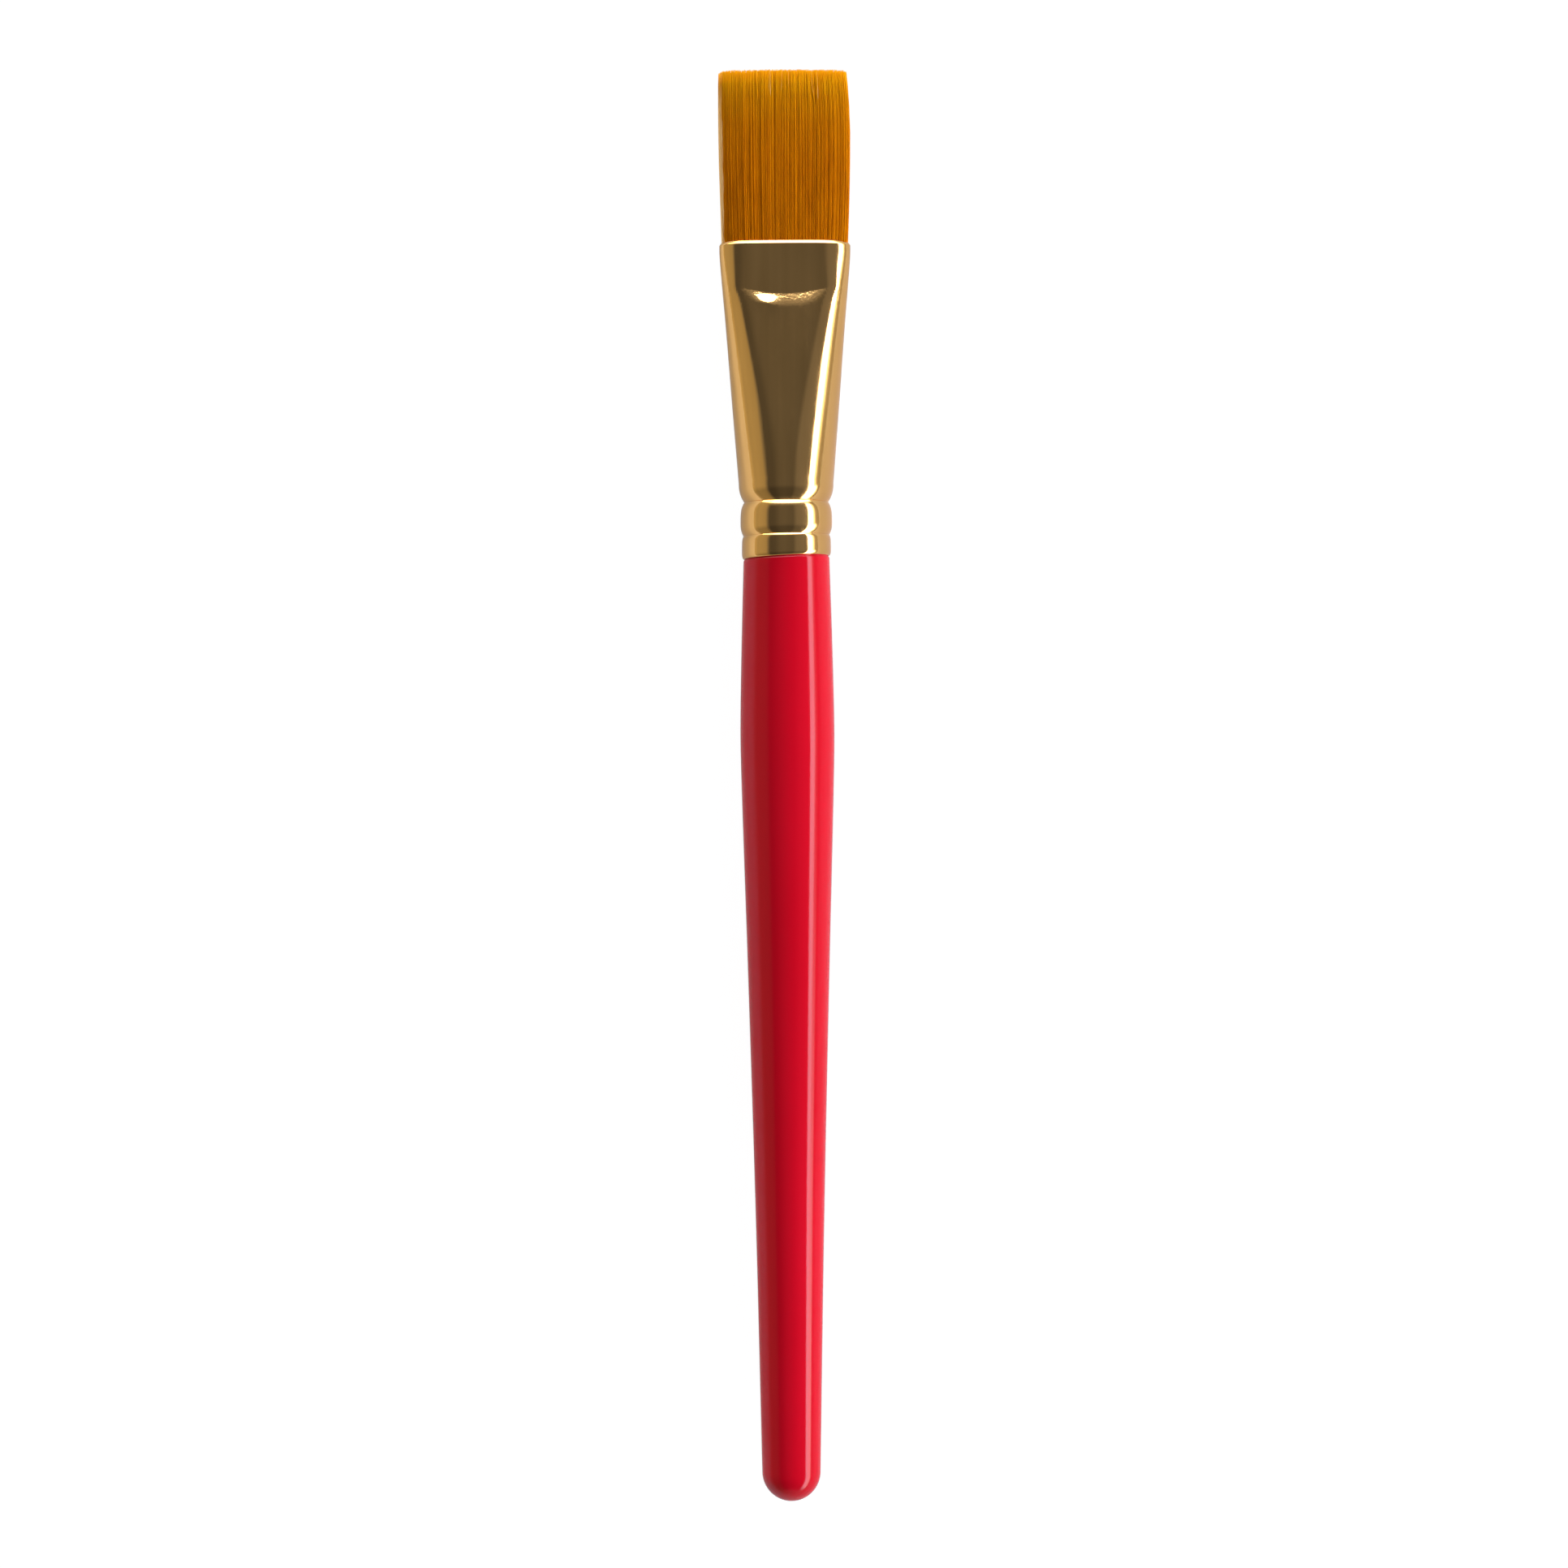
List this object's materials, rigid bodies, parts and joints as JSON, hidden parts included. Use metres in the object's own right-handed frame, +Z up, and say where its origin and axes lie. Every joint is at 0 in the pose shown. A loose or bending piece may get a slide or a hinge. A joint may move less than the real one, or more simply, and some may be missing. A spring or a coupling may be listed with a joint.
{
  "type": "paint brush",
  "caption": "Flat wash paint brush: tapered lacquered wooden handle, ribbed metal ferrule pressed flat at the mouth, and a wide straight-cut tuft of filaments.",
  "frame": {"origin": "on the table that the brush lies on, under the middle of its length", "axes": "+Y along the brush from the butt towards the bristle tips, +X across its width, +Z up through its thickness"},
  "size_m": [0.019, 0.208, 0.0138],
  "materials": {
    "wood": "turned and sanded",
    "lacquer": "high gloss red lacquer",
    "glue": "cured glue",
    "ferrule_metal": "polished, pale gold",
    "resin": "cured clear resin",
    "filament_root": "packed filaments set in resin",
    "filament": "satin golden-orange synthetic filament"
  },
  "bodies": {
    "handle": {"handle_core": "wood", "lacquer_coat": "lacquer", "tenon_glue": "glue", "ferrule": "ferrule_metal", "epoxy_plug": "resin", "tuft_root": "filament_root"},
    "tuft": {"tuft_core": "filament", "tuft_top_layer": "filament", "tuft_bottom_layer": "filament", "tuft_left_edge": "filament", "tuft_right_edge": "filament"}
  },
  "joints": [
    {"name": "tuft_flex", "type": "hinge", "parent": "handle", "child": "tuft", "pos_m": [0, 0.0797, 0.0069], "axis": [1, 0, 0], "range_deg": [-11, 35], "stiffness_Nm_per_rad": 0.02}
  ]
}
